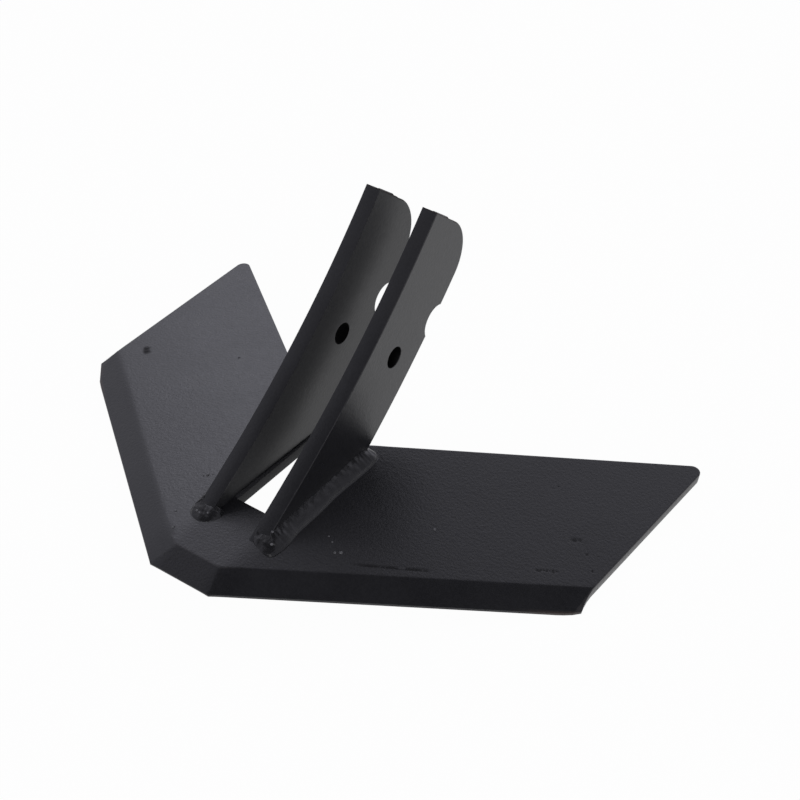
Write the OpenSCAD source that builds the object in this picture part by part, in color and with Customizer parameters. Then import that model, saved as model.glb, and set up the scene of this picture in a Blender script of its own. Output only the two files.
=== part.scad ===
// Cultivator sweep: a swept share plate with two curved shank lugs welded on top.
// The nose points to -Y, X runs across, Z is up. The part stands on its two wing ends.
// The origin is at floor level, under the middle of the outline.

/* [Share plate] */
// Thickness of the share plate
plate_t = 6; // [4:0.5:10]
// Width over the two wing ends
span = 300; // [240:1:400]
// Width of the blunt nose
nose_w = 35; // [28:0.5:50]
// Angle of each leading edge, back from straight across
sweep_deg = 38.5; // [30:0.5:46]
// Width of each wing, square to its leading edge
chord = 99; // [85:1:130]
// Angle of each wing below the level middle strip
droop_deg = 7.6; // [3:0.1:12]
// Inside radius of the fold at each side of the middle strip
fold_r = 80; // [40:1:110]
// Width of the bevel, square to the cutting edge
bevel_run = 13.2; // [8:0.1:18]
// Thickness left standing at the cutting edge
edge_land = 1; // [0.6:0.1:2]
// Radius of each rear outer corner
rear_corner_r = 4; // [2:0.5:10]
// Set-back of the flat across each leading tip
tip_flat = 2.4; // [1:0.1:5]

/* [Shank slot] */
// Width of the slot between the lugs
slot_w = 20; // [14:0.5:23]
// From the nose's edge back to the front of the slot
slot_front = 55; // [45:0.5:75]

/* [Lugs] */
// Clear gap between the lugs at their front edges, for the shank
lug_gap = 25; // [24:0.5:32]
// Thickness of each lug
lug_t = 8.4; // [6:0.1:10]
// Turn of each lug about its front edge, which brings the rear edges closer together
lug_toe_in = 1.55; // [0.5:0.05:2]
// Width of each lug, front edge to rear edge
lug_w = 44.9; // [38:0.1:52]
// Radius of each lug's hollow front edge
lug_bend_r = 513; // [420:1:640]
// From the nose's edge back to the toe of each lug
lug_toe = 35.6; // [30:0.1:42]
// Slope of the straight foot of the lug's front edge
lug_toe_deg = 32.6; // [28:0.1:37]
// Length of the straight foot, before the front edge starts to curve
lug_foot = 19; // [14:0.5:24]
// Arc of the curved front edge, up to the top
lug_arc_deg = 17.7; // [17:0.1:20]
// Radius of the rounded corner at the top of the rear edge
lug_corner_r = 24; // [8:0.5:26]

/* [Bolt hole and notch] */
// Diameter of the bolt hole through both lugs
bolt_d = 11; // [8.5:0.5:14]
// From the front edge to the middle of the bolt hole
bolt_in = 24; // [18:0.1:28]
// Arc from the straight foot up to the bolt hole
bolt_arc_deg = 10.1; // [9:0.1:11]
// Radius of the notch in the rear edge
notch_r = 9.3; // [7:0.1:12]
// Depth of the notch below the rear edge
notch_depth = 6; // [4:0.1:7]
// Arc from the straight foot up to the middle of the notch
notch_arc_deg = 12.8; // [12.3:0.1:13.3]

/* [Welds] */
// Leg of the fillet weld along each lug's outer foot
weld_leg = 5.6; // [4:0.1:8]
// How far inside the corner the bead's round is struck from
weld_inset = 3.2; // [2:0.1:5]
// Reach of the weld in front of the lug's toe
weld_toe = 5; // [3:0.1:6]
// Reach of the weld behind the lug's heel
weld_heel = 7; // [2:0.1:9]
// Extra radius of the lump at the toe
weld_swell = 0.5; // [0.3:0.1:2]

/* [Hidden] */
$fn = 96;
fold_x = nose_w / 2;
half_droop = droop_deg / 2;
end_u = (span / 2 - fold_x - plate_t * sin(droop_deg)) / cos(droop_deg);
lift = end_u * sin(droop_deg);
corner_v = (chord - rear_corner_r + (end_u - rear_corner_r) * sin(sweep_deg)) / cos(sweep_deg);
mid_y = (corner_v + rear_corner_r) / 2;
bend_x = fold_x - fold_r * tan(half_droop);
fold_steps = 8;
bevel_m = (plate_t - edge_land) / bevel_run;
bevel_skew = bevel_m * tan(half_droop) * sin(sweep_deg);
inner_k = (1 + bevel_skew) / (1 - bevel_skew);
inner_sweep = atan(tan(sweep_deg) / inner_k);
inner_m = bevel_m * sqrt(pow(sin(sweep_deg), 2) + pow(inner_k * cos(sweep_deg), 2));
lug_x = lug_gap / 2;
lug_out = lug_x + lug_t;
foot_top = [lug_toe + lug_foot * cos(lug_toe_deg), plate_t + lug_foot * sin(lug_toe_deg)];
lug_c = foot_top + lug_bend_r * [-sin(lug_toe_deg), cos(lug_toe_deg)];
lug_lean = lug_toe_deg + lug_arc_deg / 2;
foot_yaw = atan(tan(lug_toe_in) * sin(lug_lean));
toe_a = lug_toe_deg - 90;
top_a = toe_a + lug_arc_deg;
rear_r = lug_bend_r + lug_w;
round_r = rear_r - lug_corner_r;
round_a = top_a - asin(lug_corner_r / round_r);
heel_y = lug_c[0] + sqrt(pow(rear_r, 2) - pow(lug_c[1] - plate_t, 2));
bolt_y = lug_c[0] + (lug_bend_r + bolt_in) * cos(toe_a + bolt_arc_deg);
bolt_z = lug_c[1] + (lug_bend_r + bolt_in) * sin(toe_a + bolt_arc_deg);
weld_r = sqrt(pow(weld_leg + weld_inset, 2) + pow(weld_inset, 2));
weld_z = plate_t - (lug_out - bend_x) * tan(half_droop) - weld_inset;
weld_end = sqrt(pow(weld_r, 2) - 2 * pow(weld_inset, 2));
spare = 20;
far = 600;

// A point at radius r and angle a
function polar(r, a) = [r * cos(a), r * sin(a)];

// Where the trailing edge lies, u out from the fold
function trail_v(u) = (chord + u * sin(sweep_deg)) / cos(sweep_deg);

// Lays a flat shape in the middle plane's section (x across, y up) out along Y
module run_back(from, to) {
    translate([0, to, 0])
        rotate([90, 0, 0])
            linear_extrude(height = to - from)
                children();
}

// Puts children in one wing's own frame: u out along the wing, v back, w up from its underside
module wing(side) {
    mirror([side < 0 ? 1 : 0, 0, 0])
        translate([fold_x, 0, 0])
            rotate([0, droop_deg, 0])
                children();
}

// Points along one side of the folded section, w above the underside, from the fold out
function side_pts(w, reach, sx) = concat(
    [for (i = [0 : fold_steps]) [
        sx * (bend_x + (fold_r + w) * sin(droop_deg * i / fold_steps)),
        (fold_r + w) * cos(droop_deg * i / fold_steps) - fold_r]],
    [[sx * (fold_x + reach * cos(droop_deg) + w * sin(droop_deg)),
      w * cos(droop_deg) - reach * sin(droop_deg)]]);

// The same list back to front
function back_to_front(p) = [for (i = [len(p) - 1 : -1 : 0]) p[i]];

// The folded section between two heights above the underside
module section(lo, hi, reach) {
    polygon(concat(
        side_pts(hi, reach, 1),
        back_to_front(side_pts(lo, reach, 1)),
        side_pts(lo, reach, -1),
        back_to_front(side_pts(hi, reach, -1))));
}

// Everything above the bevel, for an edge that runs along the local X axis
module bevel_wedge(land, m) {
    rotate([90, 0, 90])
        translate([0, 0, -far / 2])
            linear_extrude(height = far)
                polygon([[-bevel_run, land - m * bevel_run], [3 * bevel_run, land + 3 * m * bevel_run],
                         [3 * bevel_run, far / 4], [-bevel_run, far / 4]]);
}

// Takes one wing's outline and bevel off the folded section
module wing_cuts(side) {
    // in front of the leading edge, and over its bevel outside the fold
    intersection() {
        wing(side)
            rotate([0, 0, sweep_deg])
                union() {
                    translate([-far / 2, -far, -far / 2])
                        cube([far, far, far]);
                    bevel_wedge(edge_land, bevel_m);
                }
        mirror([side < 0 ? 1 : 0, 0, 0])
            translate([fold_x, 0, 0])
                rotate([0, half_droop, 0])
                    translate([0, -far / 2, -far / 2])
                        cube([far, far, far]);
    }
    // the same bevel carried inside the fold, where the middle strip is level
    intersection() {
        mirror([side < 0 ? 1 : 0, 0, 0])
            translate([fold_x, 0, 0])
                rotate([0, 0, inner_sweep])
                    bevel_wedge(inner_k * edge_land, inner_m);
        mirror([side < 0 ? 1 : 0, 0, 0])
            translate([fold_x, 0, 0])
                rotate([0, half_droop, 0])
                    translate([-fold_x, -far / 2, -far / 2])
                        cube([fold_x, far, far]);
    }
    wing(side)
        translate([0, 0, -far / 4])
            linear_extrude(height = far / 2)
                wing_waste();
}

// Flat shape of what is cut from behind and beyond one wing
module wing_waste() {
    // behind the trailing edge
    polygon([[-0.6 * slot_w, trail_v(-0.6 * slot_w)], [end_u + far / 4, trail_v(end_u + far / 4)],
             [-0.6 * slot_w, trail_v(end_u + far / 4)]]);
    // beyond the wing end
    translate([end_u, -far / 2])
        square([far / 2, 2 * far]);
    // the flat across the leading tip
    polygon([[end_u - tip_flat * cos(sweep_deg), end_u * tan(sweep_deg) - tip_flat * sin(sweep_deg)],
             [end_u + tip_flat, end_u * tan(sweep_deg) - tip_flat],
             [end_u, end_u * tan(sweep_deg) + tip_flat]]);
    // outside the rounded rear corner
    difference() {
        polygon([[end_u - rear_corner_r, corner_v], [end_u + 1, corner_v],
                 [end_u + 1, trail_v(end_u) + 1],
                 [end_u - rear_corner_r - (rear_corner_r + 1) * sin(sweep_deg),
                  corner_v + (rear_corner_r + 1) * cos(sweep_deg)]]);
        translate([end_u - rear_corner_r, corner_v])
            circle(r = rear_corner_r);
    }
}

// The share plate with its nose at Y = 0 and its middle strip's underside at Z = 0
module plate_body() {
    difference() {
        run_back(0, corner_v + rear_corner_r + spare)
            section(0, plate_t, end_u + spare);
        bevel_wedge(edge_land, bevel_m);
        wing_cuts(1);
        wing_cuts(-1);
        translate([-slot_w / 2, slot_front, -far / 4])
            cube([slot_w, far, far / 2]);
    }
}

// Side view of one lug, x back and y up, its foot still inside the plate
module lug_side() {
    difference() {
        translate(lug_c)
            intersection() {
                difference() {
                    circle(r = rear_r, $fn = 720);
                    circle(r = lug_bend_r, $fn = 720);
                }
                polygon([[0, 0], polar(2 * far, toe_a - 12), polar(2 * far, top_a)]);
            }
        translate([-far, plate_t / 2 - far])
            square([3 * far, far]);
        translate(foot_top)
            rotate(lug_toe_deg)
                translate([-far / 4, 0])
                    square([far / 4, far / 4]);
        translate(lug_c)
            lug_corner_waste();
        translate(lug_c + polar(rear_r + notch_r - notch_depth, toe_a + notch_arc_deg))
            circle(r = notch_r);
    }
}

// Outside of the rounded top corner of a lug
module lug_corner_waste() {
    mid = polar(round_r, round_a);
    flat_end = polar(round_r * cos(top_a - round_a), top_a);
    up = polar(3, top_a + 90);
    difference() {
        polygon([mid, flat_end + up, polar(rear_r + 6, top_a) + up, polar(rear_r + 6, round_a)]);
        translate(mid)
            circle(r = lug_corner_r);
    }
}

// Turns the right lug about its front inner edge, the rear edge towards the middle
module lug_turned() {
    translate([lug_x, lug_toe, plate_t])
        rotate([lug_lean, 0, 0])
            rotate([0, lug_toe_in, 0])
                rotate([-lug_lean, 0, 0])
                    translate([-lug_x, -lug_toe, -plate_t])
                        children();
}

// One lug as a slab, not yet drilled or cut to the plate
module lug_slab(side) {
    mirror([side < 0 ? 1 : 0, 0, 0])
        lug_turned()
            translate([lug_x, 0, 0])
                rotate([90, 0, 90])
                    linear_extrude(height = lug_t)
                        lug_side();
}

// One lug standing on the plate, its foot cut to the plate's top
module lug_body(side) {
    difference() {
        lug_slab(side);
        run_back(-spare, far)
            section(0, plate_t, lug_out);
        translate([-far / 2, bolt_y, bolt_z])
            rotate([0, 90, 0])
                cylinder(d = bolt_d, h = far);
    }
}

// One weld: a bead along the lug's outer foot, carried round in front of the toe
module weld_body(side) {
    difference() {
        mirror([side < 0 ? 1 : 0, 0, 0]) {
            weld_bead();
            weld_wrap();
        }
        run_back(-spare, far)
            section(-2 * weld_r, plate_t, 2 * lug_out);
    }
}

// The bead beside the lug, ending in a round run-out behind the heel
module weld_bead() {
    difference() {
        translate([lug_out, lug_toe, weld_z])
            rotate([0, 0, foot_yaw])
                translate([-weld_inset, 0, 0])
                    rotate([-90, 0, 0]) {
                        cylinder(r = weld_r, h = heel_y + weld_heel - weld_end - lug_toe);
                        translate([0, 0, heel_y + weld_heel - weld_end - lug_toe])
                            sphere(r = weld_r + weld_swell / 2);
                    }
        lug_turned()
            translate([-far / 2 + lug_out, -far / 4, -far / 2])
                cube([far / 2, far, far]);
    }
}

// The lump that closes the weld around the toe
module weld_wrap() {
    difference() {
        translate([lug_out - weld_inset, lug_toe - weld_toe + weld_end, weld_z])
            sphere(r = weld_r + weld_swell);
        // the lug's own foot
        lug_turned()
            translate([lug_x, 0, 0])
                rotate([90, 0, 90])
                    linear_extrude(height = lug_t)
                        polygon([foot_top, [foot_top[0], -far / 4],
                                 [foot_top[0] - far / 4, -far / 4],
                                 foot_top - far / 4 * [cos(lug_toe_deg), sin(lug_toe_deg)]]);
        // the gap for the shank
        lug_turned()
            translate([lug_x - far / 4, lug_toe, -far / 4])
                cube([far / 4, far, far / 2]);
    }
}

// Stands the part on its wing ends, centred on the origin
module placed() {
    translate([0, -mid_y, lift])
        children();
}

module plate() {
    color([0.13, 0.13, 0.14])
        placed()
            plate_body();
}

module lug_left() {
    color([0.15, 0.15, 0.16])
        placed()
            lug_body(-1);
}

module lug_right() {
    color([0.15, 0.15, 0.16])
        placed()
            lug_body(1);
}

module weld_left() {
    color([0.2, 0.2, 0.21])
        placed()
            weld_body(-1);
}

module weld_right() {
    color([0.2, 0.2, 0.21])
        placed()
            weld_body(1);
}

plate();
lug_left();
lug_right();
weld_left();
weld_right();
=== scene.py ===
import math
import bpy
import numpy as np
from mathutils import Matrix, Vector
from mathutils.geometry import delaunay_2d_cdt


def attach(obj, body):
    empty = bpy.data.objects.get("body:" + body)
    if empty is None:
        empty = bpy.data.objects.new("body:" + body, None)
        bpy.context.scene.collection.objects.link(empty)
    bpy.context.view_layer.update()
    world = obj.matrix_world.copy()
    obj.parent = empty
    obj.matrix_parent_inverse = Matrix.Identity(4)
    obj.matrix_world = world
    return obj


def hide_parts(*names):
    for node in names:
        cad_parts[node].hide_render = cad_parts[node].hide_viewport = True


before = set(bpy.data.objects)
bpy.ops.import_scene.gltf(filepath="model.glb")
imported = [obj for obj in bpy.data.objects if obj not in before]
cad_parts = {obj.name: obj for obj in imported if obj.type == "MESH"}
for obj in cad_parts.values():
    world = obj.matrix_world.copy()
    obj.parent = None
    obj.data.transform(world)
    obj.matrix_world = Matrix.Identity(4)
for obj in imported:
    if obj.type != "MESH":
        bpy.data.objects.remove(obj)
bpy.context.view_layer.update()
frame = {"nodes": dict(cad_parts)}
print("frame loaded:", ", ".join(frame["nodes"]))

mm = 0.001  # shapes are worked out in millimetres, nose edge at y = 0, middle strip's underside at z = 0


class Wire:  # one output socket; maths on it adds Math nodes to its tree
    def __init__(self, tree, socket=None):
        self.tree, self.socket = tree, socket

    def node(self, kind, settings=None, inputs=None, out=0):  # any node: settings first, then its sockets
        made = self.tree.nodes.new(kind)
        for key, value in (settings or {}).items():
            if key == "stops":
                stops = made.color_ramp.elements
                for element, (place, tone) in ((stops[0], value[0]), (stops[-1], value[-1])):
                    element.position, element.color = place, (*tone, 1.0)
                for place, tone in value[1:-1]:
                    stops.new(place).color = (*tone, 1.0)
            else:
                setattr(made, key, value)
        for key, value in (inputs or {}).items():
            if isinstance(value, Wire):
                self.tree.links.new(value.socket, made.inputs[key])
            else:
                made.inputs[key].default_value = value
        return Wire(self.tree, made.outputs[out])

    def maths(self, operation, *others):
        return self.node("ShaderNodeMath", {"operation": operation}, dict(enumerate((self,) + others)))

    def __add__(self, other):
        return self.maths("ADD", other)

    def __sub__(self, other):
        return self.maths("SUBTRACT", other)

    def __rsub__(self, other):
        return (self * -1.0).maths("ADD", other)

    def __mul__(self, other):
        return self.maths("MULTIPLY", other)

    def __abs__(self):
        return self.maths("ABSOLUTE")

    __radd__ = __add__
    __rmul__ = __mul__

    def low(self, other):
        return self.maths("MINIMUM", other)

    def high(self, other):
        return self.maths("MAXIMUM", other)

    def step(self, start, end):  # 0 below start, 1 above end, smooth between
        return self.node("ShaderNodeMapRange", {"interpolation_type": "SMOOTHSTEP"},
                         {"Value": self, "From Min": start, "From Max": end})

    def stepMm(self, start, end):  # the same, with its ends in millimetres
        return self.step(start * mm, end * mm)

    def parts(self):  # a vector's three values
        return [self.node("ShaderNodeSeparateXYZ", None, {0: self}, out=axis) for axis in range(3)]

    def vector(self, operation, other, out=0):
        return self.node("ShaderNodeVectorMath", {"operation": operation}, {0: self, 1: other}, out=out)

    def noise(self, scale, detail=3.0, rough=0.5, seed=0.0):  # grey noise round a half
        return self.node("ShaderNodeTexNoise", {"noise_dimensions": "4D"},
                         {"Vector": self, "W": seed, "Scale": scale, "Detail": detail, "Roughness": rough})

    def tint(self, first, second):  # this value carries the first colour over to the second
        return self.node("ShaderNodeMix", {"data_type": "RGBA"}, {0: self, 6: first, 7: second}, out=2)


def newMaterial(name):  # a material, a wire in its tree and its shader node
    material = bpy.data.materials.new(name)
    material.use_nodes = True
    tree = material.node_tree
    return material, Wire(tree), next(n for n in tree.nodes if n.type == "BSDF_PRINCIPLED")


def plug(shader, **sockets):  # values or wires into the shader's sockets
    for key, value in sockets.items():
        socket = shader.inputs[key.replace("_", " ")]
        if isinstance(value, Wire):
            value.tree.links.new(value.socket, socket)
        else:
            socket.default_value = value


# share plate: flat coordinates are s across and v back, w is the height above the underside
plate = dict(thick=6.0, span=300.0, noseWidth=35.0, sweep=math.radians(38.5), chord=99.0,
             droop=math.radians(7.6), foldR=80.0, bevelRun=13.2, land=1.0, cornerR=4.0,
             slotWidth=20.0, slotFront=55.0, rim=0.45, softRight=0.16, softLeft=1.15, softMitre=0.25,
             leftNarrow=1.9, leftNarrowsOver=(-4, 12), leftRegain=0.9, leftRegainsOver=(40, 110),
             tipRight=[(-9.0, -7.0), (-6.2, -4.8), (-3.3, -2.3), (-0.5, 0.5), (1.3, 2.8), (2.3, 4.0),
                       (1.15, 8.2), (0.45, 12.0), (0.1, 16.0)],
             tipLeft=[(-10.0, -7.95), (-6.6, -5.0), (3.2, 6.9), (2.5, 8.7), (1.5, 10.9), (0.3, 14.4),
                      (0.0, 18.0)],
             pitch=1.6, gridStep=5.0, foldRows=9, edgeClear=2.0, creaseClear=4.0, lineInset=1.2,
             mitreTop=12.4, mitreLines=(-0.4, 0.0, 0.4),
             creaseLines=(-4.6, -3.0, -1.6, -0.7, -0.2, 0.2, 0.7, 1.6, 3.0))
sweepSin, sweepCos = math.sin(plate["sweep"]), math.cos(plate["sweep"])
droopSin, droopCos = math.sin(plate["droop"]), math.cos(plate["droop"])
mitreSlope = math.tan(plate["sweep"] / 2)
foldX = plate["noseWidth"] / 2
endU = (plate["span"] / 2 - foldX - plate["thick"] * droopSin) / droopCos  # from fold to wing end
lift = endU * droopSin  # the middle strip's height over the ground
bendX = foldX - plate["foldR"] * math.tan(plate["droop"] / 2)  # where the fold's bend starts
foldS = bendX + plate["foldR"] * plate["droop"] - plate["foldR"] * math.tan(plate["droop"] / 2)
cornerV = (plate["chord"] - plate["cornerR"] + (endU - plate["cornerR"]) * sweepSin) / sweepCos
midY = (cornerV + plate["cornerR"]) / 2  # half the depth from the nose to the rear corners


def trailV(u):  # the trailing edge runs beside the leading edge, one chord behind it
    return (plate["chord"] + u * sweepSin) / sweepCos


def arcPoints(centre, radius, start, end, count):  # points on a circle from one angle to another
    turn = np.linspace(start, end, count)
    return np.stack([centre[0] + radius * np.cos(turn), centre[1] + radius * np.sin(turn)], 1)


def evenLoop(corners, pitch, closed=True):  # a polyline cut into even pieces no longer than the pitch
    corners = np.asarray(corners, float)
    ends = np.roll(corners, -1, 0) if closed else corners[1:]
    starts = corners if closed else corners[:-1]
    counts = np.maximum(1, np.ceil(np.linalg.norm(ends - starts, axis=1) / pitch).astype(int))
    pieces = [a + (b - a) * np.linspace(0, 1, n, endpoint=False)[:, None]
              for a, b, n in zip(starts, ends, counts)]
    return np.concatenate(pieces if closed else pieces + [corners[-1:]])


def insetLoop(loop, inset):  # each point moves along its corner's mitre, to the left of the way round
    ahead = np.roll(loop, -1, 0) - loop
    ahead /= np.linalg.norm(ahead, axis=1, keepdims=True)
    left = np.stack([-ahead[:, 1], ahead[:, 0]], 1)
    mitre = left + np.roll(left, 1, 0)
    return loop + inset * 2 * mitre / (mitre ** 2).sum(1, keepdims=True)


def insideLoops(points, loops):  # even-odd count of the loop edges to the right of each point
    crossings = np.zeros(len(points), int)
    for loop in loops:
        a, b = loop, np.roll(loop, -1, 0)
        px, py = points[:, :1], points[:, 1:]
        spans = (a[:, 1] > py) != (b[:, 1] > py)
        rise = np.where(b[:, 1] == a[:, 1], 1e-9, b[:, 1] - a[:, 1])
        crossings += (spans & (px < a[:, 0] + (py - a[:, 1]) * (b[:, 0] - a[:, 0]) / rise)).sum(1)
    return crossings % 2 == 1


def makePiece(name, points, faces, material, slot, replaced=()):  # a finished mesh that rides on the part
    mesh = bpy.data.meshes.new(name)
    mesh.from_pydata(np.asarray(points).tolist(), [], faces)
    mesh.polygons.foreach_set("use_smooth", np.ones(len(mesh.polygons), bool))
    mesh.materials.append(material)
    mesh.update()
    piece = bpy.data.objects.new(name, mesh)
    bpy.context.collection.objects.link(piece)
    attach(piece, "root")
    if replaced:
        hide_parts(*replaced)
    print("made", name, len(mesh.vertices), "points")


# a slab: the top and the underside share one triangulation inside a quarter-round rim, and rings of
# points go down the rim; heightOf gives the top's height and put carries (s, v, w) into space
def slabSkin(loops, extra, lines, heightOf, put, rim):
    support, lowRim = 2.0 * rim, 0.3 * rim  # the underside's rim is sharper
    sliver = 0.002  # triangles under half this area, in square mm, are left out
    cores = [insetLoop(loop, support) for loop in loops]
    flat = [*cores, *lines, extra]
    edges, start = [], 0
    for core in cores:
        n = len(core)
        edges += [(start + i, start + (i + 1) % n) for i in range(n)]
        start += n
    for line in lines:
        edges += [(start + i, start + i + 1) for i in range(len(line) - 1)]
        start += len(line)
    made = delaunay_2d_cdt([Vector(p) for p in np.concatenate(flat)], edges, [], 0, 1e-5)
    spread = np.array([tuple(p) for p in made[0]])
    triangles = np.array(made[2])
    sides = spread[triangles[:, 1:]] - spread[triangles[:, :1]]
    area = np.abs(sides[:, 0, 0] * sides[:, 1, 1] - sides[:, 0, 1] * sides[:, 1, 0])
    triangles = triangles[insideLoops(spread[triangles].mean(1), cores) & (area > sliver)]
    newPlace = {old: new for new, olds in enumerate(made[3]) for old in olds}
    total = len(spread)
    points = [put(spread, heightOf(spread)), put(spread, np.zeros(total))]
    faces = [*triangles.tolist(), *(triangles[:, ::-1] + total).tolist()]
    count, start = 2 * total, 0
    turns = np.radians([0, 30, 60, 90])
    for loop in loops:
        n = len(loop)
        top = heightOf(insetLoop(loop, rim))
        rings = [(rim * (1 - math.sin(t)), top - rim * (1 - math.cos(t))) for t in turns]
        rings += [(lowRim * (1 - math.sin(t)), np.full(n, lowRim * (1 - math.cos(t))))
                  for t in turns[::-1]]
        points += [put(insetLoop(loop, inset), height) for inset, height in rings]
        first = np.array([newPlace[start + i] for i in range(n)])
        order = [first] + [count + k * n + np.arange(n) for k in range(len(rings))] + [first + total]
        for inner, outer in zip(order[:-1], order[1:]):
            faces += np.stack([inner, outer, np.roll(outer, -1), np.roll(inner, -1)], 1).tolist()
        count, start = count + len(rings) * n, start + n
    points = np.concatenate(points)
    used = np.unique(np.concatenate([np.ravel(f) for f in faces]))
    renumber = np.full(len(points), -1)
    renumber[used] = np.arange(len(used))
    return points[used], [renumber[f].tolist() for f in faces]


def putPlate(flat, w):  # bends the flat sheet round each fold, then stands it on its wing ends
    side, reach = np.sign(flat[:, 0]), np.abs(flat[:, 0])
    turn = np.clip((reach - bendX) / plate["foldR"], 0, plate["droop"])
    past = np.maximum(0, reach - bendX - plate["foldR"] * plate["droop"])
    before = np.minimum(reach, bendX)
    x = before + (plate["foldR"] + w) * np.sin(turn) + past * droopCos
    z = (plate["foldR"] + w) * np.cos(turn) - plate["foldR"] - past * droopSin + lift
    return np.stack([side * x, flat[:, 1] - midY, np.maximum(z, 0)], 1) * mm  # the flares stop at the ground


def softLow(a, b, k):  # the lower of two heights, with the crease between them rounded over k
    h = np.clip(0.5 + 0.5 * (b - a) / k, 0, 1)
    return b + (a - b) * h - k * h * (1 - h)


def wingU(flat):  # distance out from the fold
    return np.abs(flat[:, 0]) - foldS


def edgeReach(flat):  # distance in from the nose edge and from the nearer leading edge
    return flat[:, 1], flat[:, 1] * sweepCos - wingU(flat) * sweepSin


def ease(value, start, end):  # 0 below start, 1 above end, smooth between
    t = np.clip((value - start) / (end - start), 0, 1)
    return t * t * (3 - 2 * t)


def plateTop(flat):  # full thickness, cut down by the bevels of the nose and the wings
    fromNose, fromWing = edgeReach(flat)
    u = wingU(flat)
    narrow = plate["leftNarrow"] * ease(u, *plate["leftNarrowsOver"])
    narrow = narrow - plate["leftRegain"] * ease(u, *plate["leftRegainsOver"])
    fromWing = fromWing + (flat[:, 0] < 0) * narrow  # the left bevel is narrower, at the same slope
    slope = (plate["thick"] - plate["land"]) / plate["bevelRun"]
    soft = np.where(flat[:, 0] < -foldS, plate["softLeft"], plate["softRight"])
    bevel = softLow(plate["land"] + slope * fromNose, plate["land"] + slope * fromWing, plate["softMitre"])
    return softLow(np.full(len(flat), plate["thick"]), bevel, soft)


def plateOutline():  # each half from the nose round its tip to the slot; the bevel's forging flares the tips
    tip = np.array([endU, endU * sweepSin / sweepCos])
    middle = (endU - plate["cornerR"], cornerV)
    corner = arcPoints(middle, plate["cornerR"], 0, math.pi / 2 + plate["sweep"], 9)
    half = plate["slotWidth"] / 2
    halves = []
    for worn in (plate["tipRight"], plate["tipLeft"]):
        line = [(0, 0), *(tip + worn), *corner, (half - foldS, trailV(half - foldS))]
        halves.append(np.concatenate([np.array(line) + (foldS, 0), [(half, plate["slotFront"])]]))
    return evenLoop(np.concatenate([halves[0], halves[1][::-1] * (-1, 1)]), plate["pitch"])


def plateLines():  # mesh lines beside the bevel's creases and along the two mitres
    lines = []
    for shift in plate["creaseLines"]:
        q = plate["bevelRun"] + shift
        inner = foldS - q * mitreSlope
        u = endU - plate["lineInset"]
        outer = (foldS + u, (q + u * sweepSin) / sweepCos)
        corners = [(-outer[0], outer[1]), (-inner, q), (inner, q), outer]
        lines.append(evenLoop(corners, plate["pitch"], False))
    for shift in plate["mitreLines"]:
        for side in (-1, 1):
            ends = [(foldS - q * mitreSlope + shift, q) for q in (plate["lineInset"], plate["mitreTop"])]
            lines.append(evenLoop(np.array(ends) * (side, 1), plate["pitch"], False))
    return lines


def plateGrid(outline):  # inner points, closer together across the folds
    strip = np.linspace(bendX, bendX + plate["foldR"] * plate["droop"], plate["foldRows"])
    s = np.concatenate([np.arange(0, bendX, plate["gridStep"]), strip,
                        np.arange(strip[-1], foldS + endU, plate["gridStep"])[1:]])
    s = np.unique(np.concatenate([-s, s]))
    v = np.arange(0, 2 * midY, plate["gridStep"])
    points = np.stack(np.meshgrid(s, v), -1).reshape(-1, 2)
    clear = insetLoop(outline, plate["edgeClear"])
    points = points[insideLoops(points, [clear])]
    fromNose, fromWing = edgeReach(points)
    return points[np.minimum(fromNose, fromWing) > plate["bevelRun"] + plate["creaseClear"]]


# lugs: side view is y back and z up, w goes from the inner face outwards; cuts are points on each arc
lug = dict(gap=25.0, thick=8.4, width=45.5, bendR=513.0, toe=35.6, toeDeg=32.6, foot=19.0, arcDeg=17.8,
           leanDeg=41.45, cornerR=22.5, boltD=11.0, boltIn=24.0, boltDeg=10.1,
           notchR=9.3, notchDepth=6.0, notchDeg=12.8, toeIn=math.radians(1.55), sunk=0.45,
           rim=0.35, pitch=1.6, topPitch=0.9, wander=0.10, pip=0.55, pipAt=0.55, pipWide=0.06,
           frontCuts=90, cornerCuts=22, notchCuts=20, rearHighCuts=20, rearLowCuts=60, boltCuts=48,
           seedLeft=11, seedRight=4)
toeAngle = math.radians(lug["toeDeg"])
toeSlope = math.tan(toeAngle)
lugIn, lugOut = lug["gap"] / 2, lug["gap"] / 2 + lug["thick"]
toeWay = np.array([math.cos(toeAngle), math.sin(toeAngle)])
footTop = np.array([lug["toe"], plate["thick"]]) + lug["foot"] * toeWay
lugCentre = footTop + lug["bendR"] * np.array([-math.sin(toeAngle), math.cos(toeAngle)])
lowTurn = toeAngle - math.pi / 2
topTurn = lowTurn + math.radians(lug["arcDeg"])
rearR = lug["bendR"] + lug["width"]
lean = math.radians(lug["leanDeg"])
leanSin, leanCos = math.sin(lean), math.cos(lean)
toeInSin, toeInCos = math.sin(lug["toeIn"]), math.cos(lug["toeIn"])


def faceX(y):  # the outer face's foot comes inwards towards the heel
    return lugOut - (y - lug["toe"]) * math.tan(lug["toeIn"]) * leanSin


def around(radius, turn):  # a point about the centre of the lugs' curve
    return lugCentre + radius * np.array([math.cos(turn), math.sin(turn)])


def boltSpot():  # the middle of the bolt hole in the side view
    return around(lug["bendR"] + lug["boltIn"], lowTurn + math.radians(lug["boltDeg"]))


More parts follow.
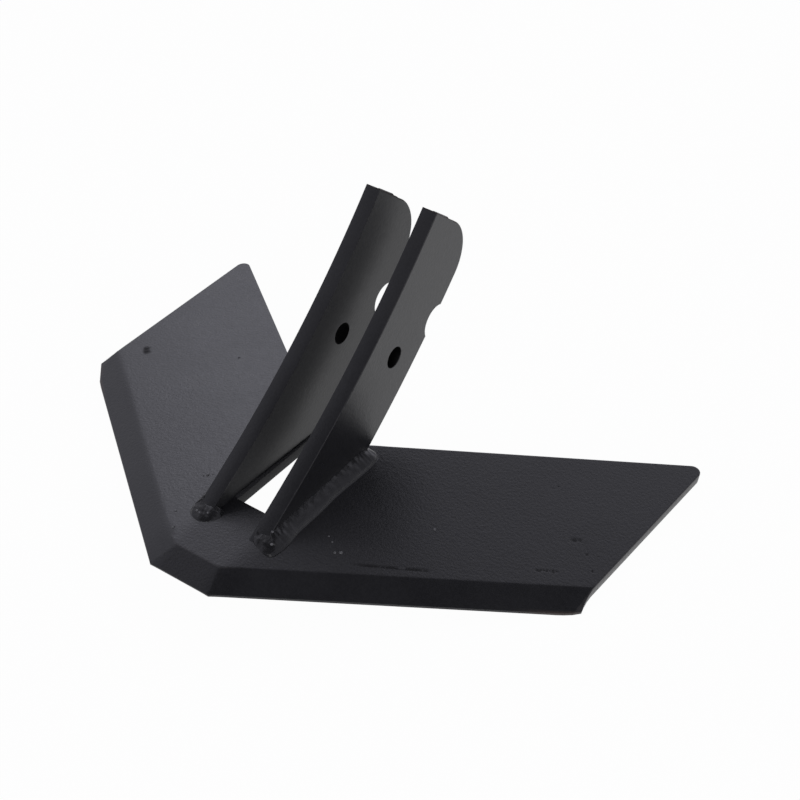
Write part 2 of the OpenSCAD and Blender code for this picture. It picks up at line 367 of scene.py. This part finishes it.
def lugOutline(seed):  # up the front edge, over the cut top, down the rear edge with its notch
    floorZ = plate["thick"] - lug["sunk"]
    toe = np.array([lug["toe"] - lug["sunk"] / toeSlope, floorZ])
    front = arcPoints(lugCentre, lug["bendR"], lowTurn, topTurn, lug["frontCuts"])
    roundR = rearR - lug["cornerR"]
    roundTurn = topTurn - math.asin(lug["cornerR"] / roundR)
    upTurn = topTurn + math.pi / 2
    corner = arcPoints(around(roundR, roundTurn), lug["cornerR"], upTurn, roundTurn, lug["cornerCuts"])
    notchReach = rearR + lug["notchR"] - lug["notchDepth"]
    notchTurn = lowTurn + math.radians(lug["notchDeg"])
    half = math.acos((notchReach ** 2 + rearR ** 2 - lug["notchR"] ** 2) / (2 * notchReach * rearR))
    notchMid = around(notchReach, notchTurn)
    lip = around(rearR, notchTurn + half) - notchMid
    lipTurn = math.atan2(lip[1], lip[0]) % (2 * math.pi)
    backTurn = (notchTurn + math.pi) % (2 * math.pi)
    notch = arcPoints(notchMid, lug["notchR"], lipTurn, 2 * backTurn - lipTurn, lug["notchCuts"])
    heelTurn = math.asin((floorZ - lugCentre[1]) / rearR)
    rearHigh = arcPoints(lugCentre, rearR, roundTurn, notchTurn + half, lug["rearHighCuts"])
    rearLow = arcPoints(lugCentre, rearR, notchTurn - half, heelTurn, lug["rearLowCuts"])
    topEdge = evenLoop([front[-1], corner[0]], lug["topPitch"], False)[1:-1]
    along = np.linspace(0, 1, len(topEdge))
    rng = np.random.default_rng(seed)  # the flame-cut top wanders and has one small pip
    wander = lug["wander"] * sum(rng.uniform(-1, 1) * np.sin(along * k * 3.1 + rng.uniform(0, 6))
                                 for k in range(1, 9))
    pip = lug["pip"] * np.exp(-((along - lug["pipAt"]) / lug["pipWide"]) ** 2)
    upward = np.array([math.cos(upTurn), math.sin(upTurn)])
    topEdge = topEdge + (wander + pip)[:, None] * np.sin(along * math.pi)[:, None] ** 0.5 * upward
    loop = np.concatenate([[toe], [footTop], front[1:], topEdge, corner, rearHigh[1:-1], notch, rearLow[1:]])
    return evenLoop(loop, lug["pitch"])[::-1]


def lugSkin(side, seed):  # the outline as a slab with its bolt hole, turned to stand on one side
    outline = lugOutline(seed)
    bolt = arcPoints(boltSpot(), lug["boltD"] / 2, 0, -2 * math.pi, lug["boltCuts"] + 1)[:-1]

    def put(flat, w):  # turned about the front inner edge, which brings the rear edges closer together
        back, up = flat[:, 0] - lug["toe"], flat[:, 1] - plate["thick"]
        along, off = back * leanCos + up * leanSin, up * leanCos - back * leanSin
        x, off = w * toeInCos + off * toeInSin, off * toeInCos - w * toeInSin
        return np.stack([side * (lugIn + x), along * leanCos - off * leanSin + lug["toe"] - midY,
                         along * leanSin + off * leanCos + plate["thick"] + lift], 1) * mm

    def flatTop(flat):  # one thickness all over
        return np.full(len(flat), lug["thick"])
    points, faces = slabSkin([outline, bolt], np.empty((0, 2)), [], flatTop, put, lug["rim"])
    return points, faces if side > 0 else [f[::-1] for f in faces]


# welds: outer line on the plate and inner line at the lug, x out and y back; each toe has its own outer line
weld = dict(leg=5.2, sink=0.35, floorDepth=0.9, along=190, across=16, bulge=0.38, toeBulge=0.14,
            toeY=43.0, toeFade=8.0, frontY=60.0, heelY=113.0, heelFade=6.0, heelDrop=0.45,
            frontGap=0.6, frontTuck=0.15, climb=0.4, ripple=0.09, ripplePitch=2.6,
            lump=0.20, fine=0.12, sway=0.45, seedLeft=21, seedRight=6,
            nearToe=[(13.0, 41.0), (13.2, 37.6), (16.0, 35.0), (19.6, 33.6), (24.0, 32.6), (27.2, 34.0),
                     (28.6, 38.5), (28.6, 46), (27.4, 57), (26.8, 73)],
            farToe=[(8.8, 43.5), (7.9, 39.5), (9.8, 34.0), (13.6, 31.4), (18.6, 31.6), (22.4, 34.4),
                    (24.2, 39.5), (25.0, 47), (26.0, 57), (26.6, 73)],
            outer=[(26.5, 90), (26.4, 105), (26.3, 115), (25.3, 120.6), (22.4, 123.4), (19.0, 123.2)],
            inner=[(13.3, 41.5), (13.9, 40.9), (15.2, 40.5), (16.8, 40.5), (18.4, 40.9), (19.8, 41.7),
                   (20.4, 43.1), (20.35, 47), (20.17, 57), (19.90, 72), (19.60, 89), (19.34, 103),
                   (19.20, 111), (19.12, 116), (18.6, 118.2), (17.8, 119.2)])


def smoothPath(corners, count):  # a curve through the corners, rounded between them
    corners = np.array(corners, float)
    spots = np.linspace(0, len(corners) - 1, count)
    index = np.clip(spots.astype(int), 0, len(corners) - 2)
    t = (spots - index)[:, None]
    grown = np.concatenate([2 * corners[:1] - corners[1:2], corners, 2 * corners[-1:] - corners[-2:-1]])
    p0, p1, p2, p3 = (grown[index + k] for k in range(4))
    return 0.5 * (2 * p1 + (p2 - p0) * t + (2 * p0 - 5 * p1 + 4 * p2 - p3) * t ** 2
                  + (3 * p1 - p0 - 3 * p2 + p3) * t ** 3)


def waves(rng, count, low, high):  # a few sines of random lengths, each with its own phase
    return [(rng.uniform(low, high), rng.uniform(low, high), rng.uniform(0, 6.3)) for _ in range(count)]


def weldSkin(side, toeLine, seed):  # a bulging strip from the plate up to the lug, carried along the foot
    rng = np.random.default_rng(seed)
    n, m = weld["along"], weld["across"]
    outer, inner = smoothPath(toeLine + weld["outer"], n), smoothPath(weld["inner"], n)
    innerX, innerY = inner[:, :1], inner[:, 1:]
    along = np.linspace(0, 1, n)[:, None]
    across = np.linspace(0, 1, m)[None, :]
    toeShare = 1 - np.clip((innerY - weld["toeY"]) / weld["toeFade"], 0, 1)  # 1 round the toe
    wedge = np.maximum(0, (innerY - lug["toe"]) * toeSlope)
    front = (innerX < faceX(innerY) - weld["frontGap"]) & (innerY < weld["frontY"])
    rise = np.where(front, wedge - weld["frontTuck"], np.minimum(weld["leg"], wedge + weld["climb"]))
    heel = np.clip((innerY - weld["heelY"]) / weld["heelFade"], 0, 1)
    rise = rise * (1 - weld["heelDrop"] * heel ** 2)
    bulge = weld["bulge"] + weld["toeBulge"] * toeShare
    curve = np.sqrt((1 + bulge) ** 2 + bulge ** 2 - (1 - across + bulge) ** 2) - bulge
    plan = outer[:, None, :] * (1 - across[..., None]) + inner[:, None, :] * across[..., None]
    height = -weld["sink"] + (rise + weld["sink"]) * curve
    body = np.sin(across * math.pi) ** 0.7  # nothing moves at the two lines
    crescent = (plan[..., 1] - 2.4 * (across - 0.5) ** 2 * weld["ripplePitch"]) / weld["ripplePitch"]
    x, y = plan[..., 0], plan[..., 1]
    wobble = sum(np.sin(x * a + y * b + c) for a, b, c in waves(rng, 6, -1.1, 1.1)) / 6
    fine = sum(np.sin(x * a + y * b + c) for a, b, c in waves(rng, 8, -3.2, 3.2)) / 8
    height = height + body * (weld["ripple"] * np.sin(2 * math.pi * crescent + wobble * 2.0)
                              + weld["lump"] * wobble * (1 + 1.2 * toeShare)
                              + weld["fine"] * fine * (0.5 + toeShare))
    sway = sum(np.sin(along * k * 9.0 + rng.uniform(0, 6.3)) for k in range(1, 7)) / 6
    plan[..., 0] += weld["sway"] * sway * (1 - across)
    reach = np.abs(plan[..., 0])
    drop = np.where(reach > bendX, (reach - bendX) ** 2 / (2 * (plate["foldR"] + plate["thick"])), 0)
    top = np.stack([plan[..., 0], plan[..., 1], plate["thick"] + height - drop], -1)
    under = top[:, [-1, 0]].copy()  # a hidden floor just inside the plate closes the strip
    under[..., 2] = plate["thick"] - weld["floorDepth"]
    loops = np.concatenate([top, under], 1)
    loops = loops * (side, 1, 1) + (0, -midY, lift)
    k = m + 2
    index = np.arange(n * k).reshape(n, k)
    beside = np.roll(index, -1, 1)
    quads = np.stack([index[:-1], index[1:], beside[1:], beside[:-1]], -1).reshape(-1, 4)
    faces = [*quads[:, ::-1].tolist(), index[0].tolist(), index[-1][::-1].tolist()]
    return loops.reshape(-1, 3) * mm, faces if side > 0 else [f[::-1] for f in faces]


# weld spatter: small flattened drops on the plate and on the welds' toe lumps, (s, v, radius)
spatter = dict(drops=[(48.8, 58.3, 0.95), (46.7, 56.3, 0.75), (41.7, 60.9, 0.50), (38.3, 62.7, 0.50),
                      (72.9, 100.9, 0.78), (-21.1, 21.3, 0.60), (-28.5, 31.6, 0.45), (-33.5, 61.3, 0.75),
                      (-35.0, 60.0, 0.40), (-31.6, 63.0, 0.35)],
               onLumps=[(21.0, 42.9, 0.70), (24.2, 38.2, 0.85), (-18.8, 35.4, 0.65), (-17.1, 35.2, 0.55),
                        (-13.3, 36.8, 0.60)],
               flat=0.80, sink=0.2, search=0.8, turns=12, rings=6)


def spatterSkin(lumps):  # a flattened half ball a little sunk, one for each drop; lumps are the welds' points
    points, faces, start = [], [], 0
    tilt = np.linspace(0.02, 1.9, spatter["rings"])[:, None]
    turn = np.linspace(0, 2 * math.pi, spatter["turns"], endpoint=False)[None, :]
    k = spatter["turns"]
    for number, (s, v, radius) in enumerate(spatter["drops"] + spatter["onLumps"]):
        ring = radius * np.sin(tilt)
        flat = np.stack([s + ring * np.cos(turn), v + ring * np.sin(turn)], -1).reshape(-1, 2)
        rise = (radius * spatter["flat"] * np.cos(tilt) + 0 * turn).ravel()
        if number < len(spatter["drops"]):
            points.append(putPlate(flat, plateTop(np.array([[s, v]]))[0] + rise))
        else:  # sits on the highest weld point close by
            away = np.hypot(lumps[:, 0] - s * mm, lumps[:, 1] - (v - midY) * mm)
            seat = lumps[away < spatter["search"] * mm, 2].max()
            points.append(np.column_stack([flat[:, 0] * mm, (flat[:, 1] - midY) * mm,
                                           seat + (rise - spatter["sink"]) * mm]))
        index = start + np.arange(spatter["rings"] * k).reshape(-1, k)
        rows = [np.stack([a, b, np.roll(b, -1), np.roll(a, -1)], 1) for a, b in zip(index[:-1], index[1:])]
        faces += np.concatenate(rows).tolist() + [index[0].tolist(), index[-1][::-1].tolist()]
        start += spatter["rings"] * k
    return np.concatenate(points), faces


paint = dict(dark=(0.0095, 0.0096, 0.0110), pale=(0.0163, 0.0164, 0.0183), worn=(0.082, 0.076, 0.074, 1),
             rust=(0.072, 0.052, 0.045, 1), lipLight=(0.11, 0.11, 0.115, 1), chip=(0.0035, 0.0035, 0.0040, 1),
             scaleDark=(0.018, 0.014, 0.013, 1), scalePale=(0.052, 0.040, 0.036, 1),
             boreShade=(0.0015, 0.0014, 0.0014, 1), bead=(0.024, 0.024, 0.026, 1), drop=(0.12, 0.12, 0.125, 1),
             rough=0.31, dropRough=0.28, beadShade=0.5)


def paintGround(wire, seed, shade=1.0):  # satin black: cloudy tone, orange peel and a faint rolling grain
    dark, pale = [(*[c * shade for c in paint[tone]], 1.0) for tone in ("dark", "pale")]
    place = wire.node("ShaderNodeTexCoord", out=3)
    cloud = place.noise(26.0, 4.0, 0.55, seed)
    peel = place.vector("MULTIPLY", (0.8, 0.8, 1.0)).noise(900.0, 2.0, 0.55, seed + 3)
    grain = place.vector("MULTIPLY", (1.0, 1.7, 1.7)).noise(240.0, 4.0, 0.65, seed + 7)
    colour = (cloud.step(0.32, 0.70) * 0.55 + peel.step(0.34, 0.66) * 0.45).tint(dark, pale)
    rough = paint["rough"] + (cloud - 0.5) * 0.12 + (grain - 0.5) * 0.16
    return place, cloud, grain, colour, rough, peel + grain * 0.30


def raised(wire, height, strength, distance):  # a bump normal from a height
    return wire.node("ShaderNodeBump", None, {"Strength": strength, "Distance": distance, "Height": height})


def wingSpot(side, u, v):  # a place on a wing's top, in metres
    return tuple(putPlate(np.array([[side * (foldS + u), v]]), np.array([plate["thick"]]))[0])


# paint chips on the wings: (side, u, v, size), with one row of them beside the right bevel
rowSizes = (1.5, 1.6, 1.4, 1.3, 1.5, 1.7, 1.6)
chipRow = [(1, 106.8 + 1.2 * k, 113.4 + 0.9 * k, size) for k, size in enumerate(rowSizes)]
chips = [(1, 109.3, 141.9, 2.7), (1, 111.6, 143.7, 2.3), *chipRow, (1, 119.2, 138.1, 1.5),
         (1, 84.1, 166.7, 1.2), (1, 127.0, 130.8, 1.1), (-1, 118.0, 130.0, 3.8), (-1, 119.9, 132.1, 3.3),
         (-1, 69.7, 149.4, 1.1), (-1, 16.1, 61.7, 1.0), (-1, 10.6, 31.6, 0.9), (-1, 3.6, 21.5, 0.9)]
scuff = dict(start=(1, 36, 53.5), end=(1, 70.5, 78.6), wide=1.6)


def chipMask(place):  # 1 inside any chip, with a frayed rim
    frayed = (place.noise(420.0, 2.0, 0.6, 21.0) - 0.5) * (3.2 * mm)
    mask = None
    for side, u, v, size in chips:
        gap = place.vector("DISTANCE", wingSpot(side, u, v), out=1) + frayed
        mark = 1 - gap.stepMm(0.05 * size, 0.95 * size)
        mask = mark if mask is None else mask.high(mark)
    return mask


def scuffMask(place, cloud):  # 1 close to a line along the wing, faded at both ends and broken by noise
    first, last = np.array(wingSpot(*scuff["start"])), np.array(wingSpot(*scuff["end"]))
    length = float(np.linalg.norm(last - first))
    way = (last - first) / length
    across = np.cross((0, 0, 1), way)
    fromStart = place.vector("SUBTRACT", tuple(first))
    run = fromStart.vector("DOT_PRODUCT", tuple(way), out=1)
    off = abs(fromStart.vector("DOT_PRODUCT", tuple(across), out=1) + (cloud - 0.5) * (2.0 * mm))
    faded = run.step(0, 0.3 * length) * (1 - run.step(0.90 * length, length))
    return (1 - off.stepMm(0.2, scuff["wide"])) * faded * place.noise(240.0, 3.0, 0.6).step(0.34, 0.48)


def platePaint():  # paint with worn rims that also carry a painted highlight, a painted highlight along the nose crease, browned tips, painted light on the strip beside the slot, small chips and one long scuff
    material, wire, shader = newMaterial("platePaint")
    place, cloud, grain, colour, rough, height = paintGround(wire, 0.0)
    x, y, z = place.parts()
    reach = abs(x)
    up = z - lift * mm
    u = (reach - foldX * mm) * droopCos - up * droopSin
    v = y + midY * mm
    edge = (v * sweepCos - u * sweepSin).low(v)  # distance in from the cutting edge
    ragged = (grain - 0.5) * (2.4 * mm)
    # the land is edge wear and also a painted highlight: the cutting edge is made a little paler
    land = 1 - (edge + ragged * 0.3).stepMm(0.2, 0.8)
    ends = (u + ragged * 0.4).stepMm(endU - 0.55, endU - 0.05)
    tips = (1 - (edge + ragged).stepMm(0.4, 2.0)) * u.stepMm(endU - 26, endU - 6)
    farTip = 1 - x.stepMm(-146.5, -144.0)
    blunt = farTip * (1 - (edge + ragged).stepMm(1.0, 5.0))  # this tip is browned more
    atNose = (1 - u.stepMm(-2, 4)) * up.stepMm(0, 4)
    # painted highlight: a faint pale line along the nose bevel's crease, in the worn colour
    creaseHighlight = (1 - abs(edge - plate["bevelRun"] * mm).stepMm(0.1, 0.5)) * atNose
    half, slotV = plate["slotWidth"] / 2, plate["slotFront"]
    lipLightBand = reach.stepMm(half + 0.1, half + 0.6) * (1 - reach.stepMm(half + 2.2, half + 2.7))
    lip = lipLightBand * v.stepMm(slotV - 0.4, slotV + 1.0)  # painted light: a paler strip along the slot's edge, which lies in shadow beside the lug
    slotSide = (1 - reach.stepMm(half + 0.05, half + 0.3)) * v.stepMm(slotV - 0.2, slotV + 0.6)
    chipped = chipMask(place)
    scuffed = scuffMask(place, cloud) * up.stepMm(-20, 0)
    worn = (land * 0.18).high(ends * 0.75) * (0.45 + grain.step(0.35, 0.62) * 0.55)
    # the worn colour is edge wear on the land and wing ends, plus the painted highlights on the land and the
    # nose crease
    colour = (worn * 0.46).high(creaseHighlight * 0.18).tint(colour, paint["worn"])
    colour = (tips * 0.75).high(blunt * 0.65).tint(colour, paint["rust"])
    # painted light: lightens the shadowed strip beside the slot
    colour = (lip * 0.40).tint(colour, paint["lipLight"])
    colour = (chipped * 0.8).high(scuffed * 0.8).tint(colour, paint["chip"])
    dulled = (chipped * 0.50).high(scuffed * 0.60).high(slotSide * 0.34)
    plug(shader, Base_Color=colour, Roughness=rough + worn * 0.10 + dulled,
         Normal=raised(wire, height - chipped * 0.9 - scuffed * 0.8, 0.60, 0.18 * mm))
    return material


def lugPaint():  # the same paint: browned, pitted flame-cut top, a bare metallic bore made nearly black as painted shade, dull band inside the front edge
    material, wire, shader = newMaterial("lugPaint")
    place, _, grain, colour, rough, height = paintGround(wire, 5.0)
    x, y, z = place.parts()
    sideView = place.vector("MULTIPLY", (0.0, 1.0, 1.0))
    centreY, centreZ = (lugCentre + (-midY, lift)) * mm
    boltY, boltZ = (boltSpot() + (-midY, lift)) * mm
    past = (y - centreY) * math.cos(topTurn + math.pi / 2) + (z - centreZ) * math.sin(topTurn + math.pi / 2)
    cut = (past + (grain - 0.5) * (1.2 * mm)).stepMm(-0.9, -0.2)
    pits = place.vector("MULTIPLY", (0.35, 1.0, 1.0)).noise(900.0, 3.0, 0.6, 2.0)
    scale = grain.step(0.35, 0.65).tint(paint["scaleDark"], paint["scalePale"])
    colour = (cut * 0.8).tint(colour, scale)
    boltR = lug["boltD"] / 2
    hole = 1 - sideView.vector("DISTANCE", (0.0, boltY, boltZ), out=1).stepMm(boltR + 0.1, boltR + 0.4)
    # painted shade: the bolt hole's wall is made nearly black
    colour = hole.tint(colour, paint["boreShade"])
    reach = sideView.vector("DISTANCE", (0.0, centreY, centreZ), out=1) - lug["bendR"] * mm
    band = (1 - reach.stepMm(3, 38)) * reach.stepMm(0.3, 0.6) * (1 - z.stepMm(80, 135) * 0.3)
    dull = (1 - abs(x).stepMm(13.0, 14.5)) * band
    plug(shader, Base_Color=colour, Metallic=hole * 0.85,
         Roughness=rough + cut * 0.25 + (dull * 0.36).high(hole * 0.55),
         Normal=raised(wire, height + cut * pits * 2.0, 0.50, 0.16 * mm))
    return material


def weldPaint():  # painted bead, darker than the plate: paler streaks, a painted highlight along its lower rim and painted light on the toe lumps, glossier drops
    material, wire, shader = newMaterial("weldPaint")
    place, _, _, colour, rough, height = paintGround(wire, 9.0, paint["beadShade"])
    x, y, _ = place.parts()
    v = y + midY * mm
    drops = place.noise(330.0, 3.0, 0.6, 4.0)
    streaks = place.vector("MULTIPLY", (1.0, 0.30, 1.0)).noise(330.0, 3.0, 0.55, 8.0).step(0.46, 0.66)
    # painted highlight: a paler band along the bead's lower rim on the plate
    rim = abs(x).stepMm(24.9, 26.0) * v.stepMm(46, 52) * (1 - v.stepMm(112, 118))
    # painted light: the weld's toe lumps are made paler
    toe = 1 - v.stepMm(39, 47)
    colour = (streaks * 0.38).high(rim * 0.60).high(toe * 0.22).tint(colour, paint["bead"])
    plug(shader, Base_Color=colour, Roughness=rough - 0.05 - drops.step(0.45, 0.7) * 0.10,
         Normal=raised(wire, height * 0.6 + drops * 0.7 + streaks * 0.5, 0.45, 0.30 * mm))
    return material


def dropGlintPaint():  # spatter, paler than the bead: its pale grey is a painted glint
    material, _, shader = newMaterial("dropGlintPaint")
    # painted glint: the drops are a pale grey
    plug(shader, Base_Color=paint["drop"], Roughness=paint["dropRough"])
    return material


plateCoat, lugCoat, weldCoat, dropCoat = platePaint(), lugPaint(), weldPaint(), dropGlintPaint()
print("finishes made")

outline = plateOutline()
plateSkin = slabSkin([outline], plateGrid(outline), plateLines(), plateTop, putPlate, plate["rim"])
makePiece("plateSkin", *plateSkin, plateCoat, "paint", ["plate"])
makePiece("lugLeftSkin", *lugSkin(-1, lug["seedLeft"]), lugCoat, "paint", ["lug_left"])
makePiece("lugRightSkin", *lugSkin(1, lug["seedRight"]), lugCoat, "paint", ["lug_right"])
weldSkins = [weldSkin(-1, weld["farToe"], weld["seedLeft"]), weldSkin(1, weld["nearToe"], weld["seedRight"])]
makePiece("weldLeftSkin", *weldSkins[0], weldCoat, "weld", ["weld_left"])
makePiece("weldRightSkin", *weldSkins[1], weldCoat, "weld", ["weld_right"])
weldPoints = np.concatenate([points for points, faces in weldSkins])
makePiece("spatterDrops", *spatterSkin(weldPoints), dropCoat, "weld")

# sky is pairs of the sine of the angle above the horizon and the brightness there
studio = dict(sky=[(0.0, 0.88), (0.50, 0.88), (0.70, 0.86), (0.735, 0.95), (0.785, 0.22), (0.90, 0.30),
                   (1.0, 0.15)],
              tone=(0.965, 0.96, 1.08), frontShare=0.44, rearWay=(-0.70, 0.71, 0.0),
              darkWay=(-0.92, 0.08, 0.375), darkShare=0.32, paleWay=(-0.444, 0.063, 0.892), paleShare=1.3,
              seenShare=0.975, mirrorShare=0.70, halfFloor=6.0, floorTone=(0.9, 0.9, 0.9, 1),
              glowSpot=(-1.22, 1.50, 1.12), glowSize=(1.0, 0.5), glowPower=2.2, glowTone=(0.88, 0.89, 1.0),
              keySpot=(1.9, -2.0, 1.27), keySize=(2.4, 2.4), keyPower=24.0, aim=(0, 0, 0.04))


def studioWorld():  # a pale band round the horizon, darker overhead and darker towards the front
    world = bpy.data.worlds.new("studio")
    world.use_nodes = True
    wire = Wire(world.node_tree)
    heading = wire.node("ShaderNodeTexCoord", out=0)
    up = heading.parts()[2]
    stops = [(place, [share * c for c in studio["tone"]]) for place, share in studio["sky"]]
    glow = up.node("ShaderNodeValToRGB", {"stops": stops}, {0: up})
    rearward = heading.vector("DOT_PRODUCT", studio["rearWay"], out=1).step(-0.1, 0.8)
    darkCard = heading.vector("DOT_PRODUCT", studio["darkWay"], out=1).step(0.80, 0.97)  # at the far side
    paleCard = heading.vector("DOT_PRODUCT", studio["paleWay"], out=1).step(0.90, 0.98)  # high above it
    level = studio["frontShare"] + rearward * (1 - studio["frontShare"])
    strength = level * (1 - darkCard * studio["darkShare"]) * (1 + paleCard * studio["paleShare"])
    plug(next(n for n in world.node_tree.nodes if n.type == "BACKGROUND"), Color=glow, Strength=strength)
    bpy.context.scene.world = world


def studioFloor():  # one wide pale sheet, mostly its own white where it is seen
    half = studio["halfFloor"]
    sheet = bpy.data.meshes.new("floor")
    corners = [(-half, -half, 0), (half, -half, 0), (half, half, 0), (-half, half, 0)]
    sheet.from_pydata(corners, [], [(0, 1, 2, 3)])
    floor = bpy.data.objects.new("floor", sheet)
    bpy.context.collection.objects.link(floor)
    material = bpy.data.materials.new("floorWhite")
    material.use_nodes = True
    tree = material.node_tree
    tree.nodes.clear()
    wire = Wire(tree)
    seen, mirrored, through = [wire.node("ShaderNodeLightPath", out=f"Is {kind} Ray")
                               for kind in ("Camera", "Glossy", "Transmission")]
    share = (seen * studio["seenShare"]).high((mirrored + through).low(1.0) * studio["mirrorShare"])
    matt = wire.node("ShaderNodeBsdfDiffuse", None, {"Color": studio["floorTone"]})
    white = wire.node("ShaderNodeEmission", None, {"Color": (1, 1, 1, 1), "Strength": 1.0})
    mixed = wire.node("ShaderNodeMixShader", None, {0: share, 1: matt, 2: white})
    plug(tree.nodes.new("ShaderNodeOutputMaterial"), Surface=mixed)
    sheet.materials.append(material)


def softLamp(name, spot, size, power, tone=(1.0, 1.0, 1.0)):  # an area lamp that faces the part
    data = bpy.data.lights.new(name, "AREA")
    data.shape, data.energy, data.color = "RECTANGLE", power, tone
    data.size, data.size_y = size
    made = bpy.data.objects.new(name, data)
    bpy.context.collection.objects.link(made)
    made.location = spot
    made.rotation_euler = (Vector(studio["aim"]) - Vector(spot)).to_track_quat("-Z", "Y").to_euler()


studioWorld()
studioFloor()
softLamp("rearGlow", studio["glowSpot"], studio["glowSize"], studio["glowPower"], studio["glowTone"])
softLamp("keyLamp", studio["keySpot"], studio["keySize"], studio["keyPower"])

view = dict(lens=89.908, sensor=36.0, clip=(0.01, 50.0), spot=(0.45963, -0.60103, 0.66273),
            right=(0.810323, 0.585544, 0.022690), down=(0.382276, -0.498884, -0.777805),
            ahead=(-0.444119, 0.638947, -0.628096))


def photoCamera():  # the fitted view: its columns are right, up and back
    data = bpy.data.cameras.new("camera")
    data.sensor_width, data.lens = view["sensor"], view["lens"]
    data.clip_start, data.clip_end = view["clip"]
    made = bpy.data.objects.new("camera", data)
    bpy.context.collection.objects.link(made)
    pose = np.eye(4)
    pose[:3, :3] = np.array([view["right"], np.negative(view["down"]), np.negative(view["ahead"])]).T
    pose[:3, 3] = view["spot"]
    made.matrix_world = Matrix(pose.tolist())
    bpy.context.scene.camera = made


photoCamera()
bpy.context.scene.view_settings.view_transform = "Standard"
print("studio and camera set")
